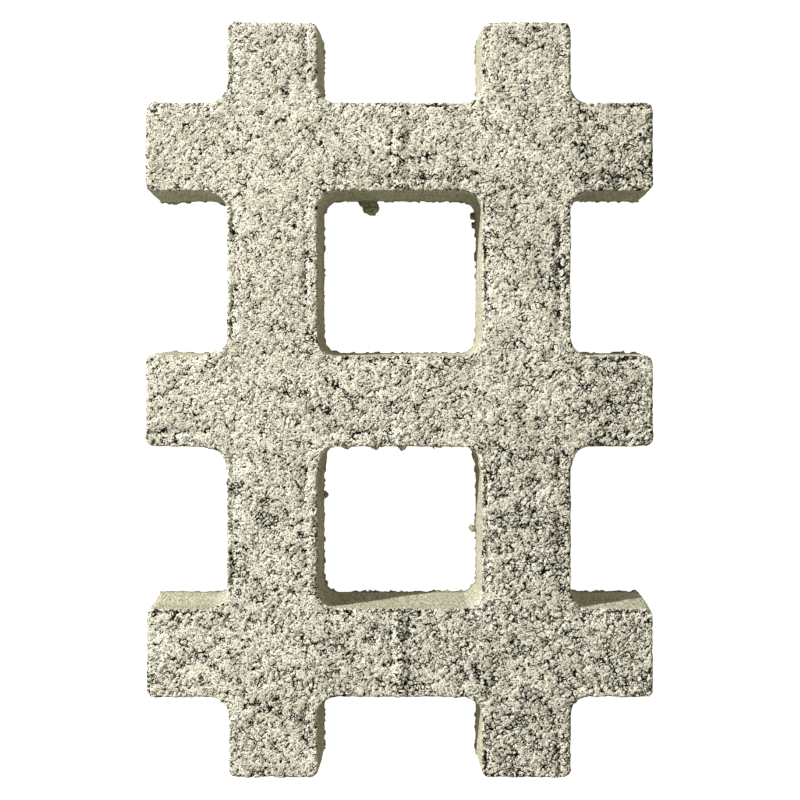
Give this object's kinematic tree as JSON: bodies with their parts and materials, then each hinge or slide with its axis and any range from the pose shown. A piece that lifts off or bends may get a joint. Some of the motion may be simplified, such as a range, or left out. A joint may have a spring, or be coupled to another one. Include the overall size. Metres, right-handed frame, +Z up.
{
  "type": "concrete grass paver",
  "caption": "Open lattice slab of pressed concrete: two long rails crossed by three bars, with free ends that carry the grid on to the next paver, and through cells for soil and grass.",
  "frame": {"origin": "on the underside, under the centre of the slab", "axes": "+Z up out of the pressed face, Y along the two long rails, X along the three cross bars"},
  "size_m": [0.4, 0.6, 0.0812],
  "materials": {
    "pressed_concrete": "matt pale warm grey concrete, pitted and open-grained on the pressed face, finer on the moulded sides"
  },
  "bodies": {
    "root": {"grass_paver": "pressed_concrete"}
  },
  "joints": []
}
